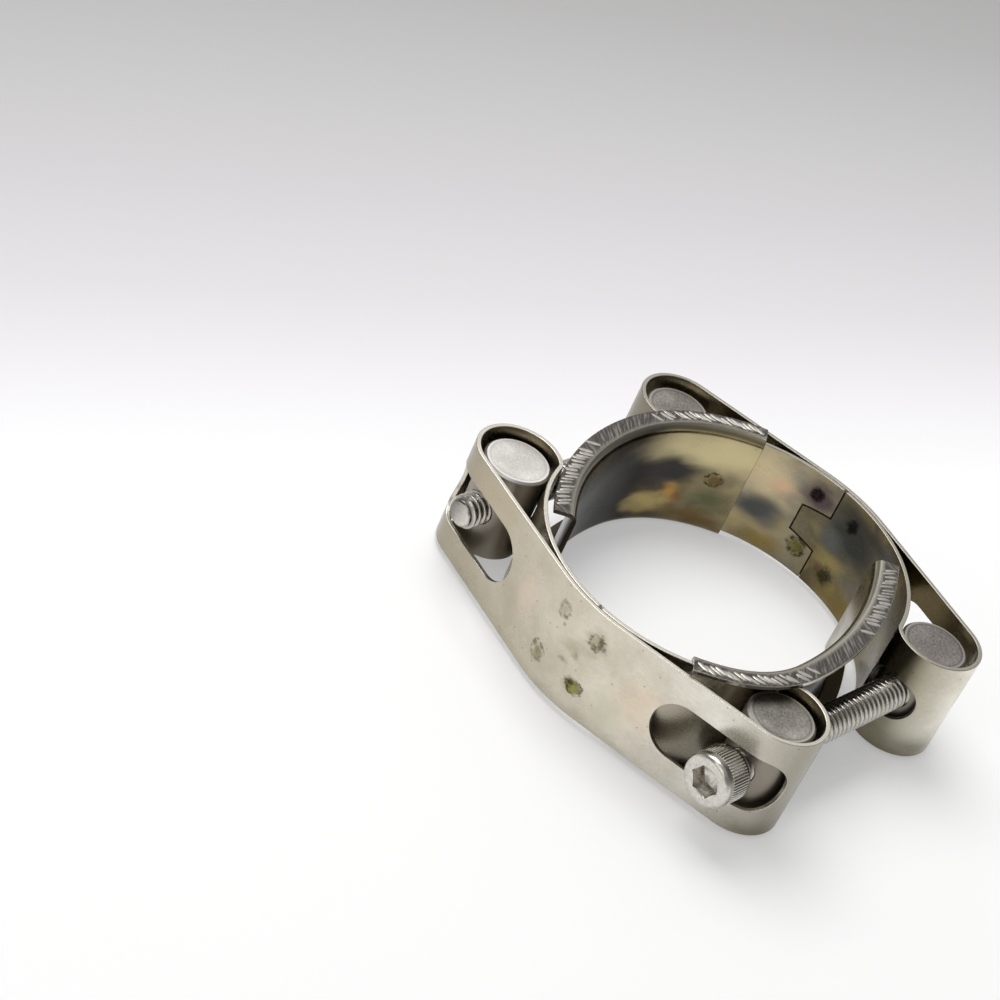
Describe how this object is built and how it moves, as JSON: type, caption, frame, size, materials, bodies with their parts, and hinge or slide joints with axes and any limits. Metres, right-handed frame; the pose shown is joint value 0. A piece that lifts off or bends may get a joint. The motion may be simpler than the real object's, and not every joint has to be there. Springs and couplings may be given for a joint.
{
  "type": "double bolt pipe clamp",
  "caption": "Heavy-duty pipe and hose clamp: folded steel bands face each other and socket screws through round barrels draw them together over flanged bridge liners.",
  "frame": {"origin": "centre of the pipe opening at the level of the lower flanges, on which the clamp lies", "axes": "+Z along the pipe axis, upwards; +X from screw to screw; +Y from the front band to the rear band, along the screws"},
  "size_m": [0.084, 0.076, 0.0244],
  "materials": {
    "band_steel": "satin rolled stainless strip, slightly tinted",
    "liner_steel": "rolled stainless strip with worked flanges",
    "barrel_steel": "turned and sawn bar, dull grey ends",
    "screw_steel": "bright rolled thread and knurled head"
  },
  "bodies": {
    "front_half": {"front_band": "band_steel", "front_liner": "liner_steel", "front_threaded_barrel": "barrel_steel", "front_plain_barrel": "barrel_steel"},
    "rear_half": {"rear_band": "band_steel", "rear_liner": "liner_steel", "rear_threaded_barrel": "barrel_steel", "rear_plain_barrel": "barrel_steel"},
    "front_screw": {"front_screw": "screw_steel"},
    "rear_screw": {"rear_screw": "screw_steel"}
  },
  "joints": [
    {"name": "halves_slide", "type": "slide", "parent": "front_half", "child": "rear_half", "axis": [0, 1, 0], "range_m": [-0.0045, 0.01]},
    {"name": "front_screw_turn", "type": "hinge", "parent": "front_half", "child": "front_screw", "pos_m": [0.03385, 0, 0.0122], "axis": [0, -1, 0], "range_deg": [-1277, 2836]},
    {"name": "rear_screw_turn", "type": "hinge", "parent": "rear_half", "child": "rear_screw", "pos_m": [-0.03385, 0, 0.0122], "axis": [0, 1, 0], "range_deg": [-1277, 2836]}
  ],
  "couplings": [
    {"joint": "front_screw_turn", "follows": "halves_slide", "rad_per_m": 4947.4},
    {"joint": "rear_screw_turn", "follows": "halves_slide", "rad_per_m": 4947.4}
  ]
}
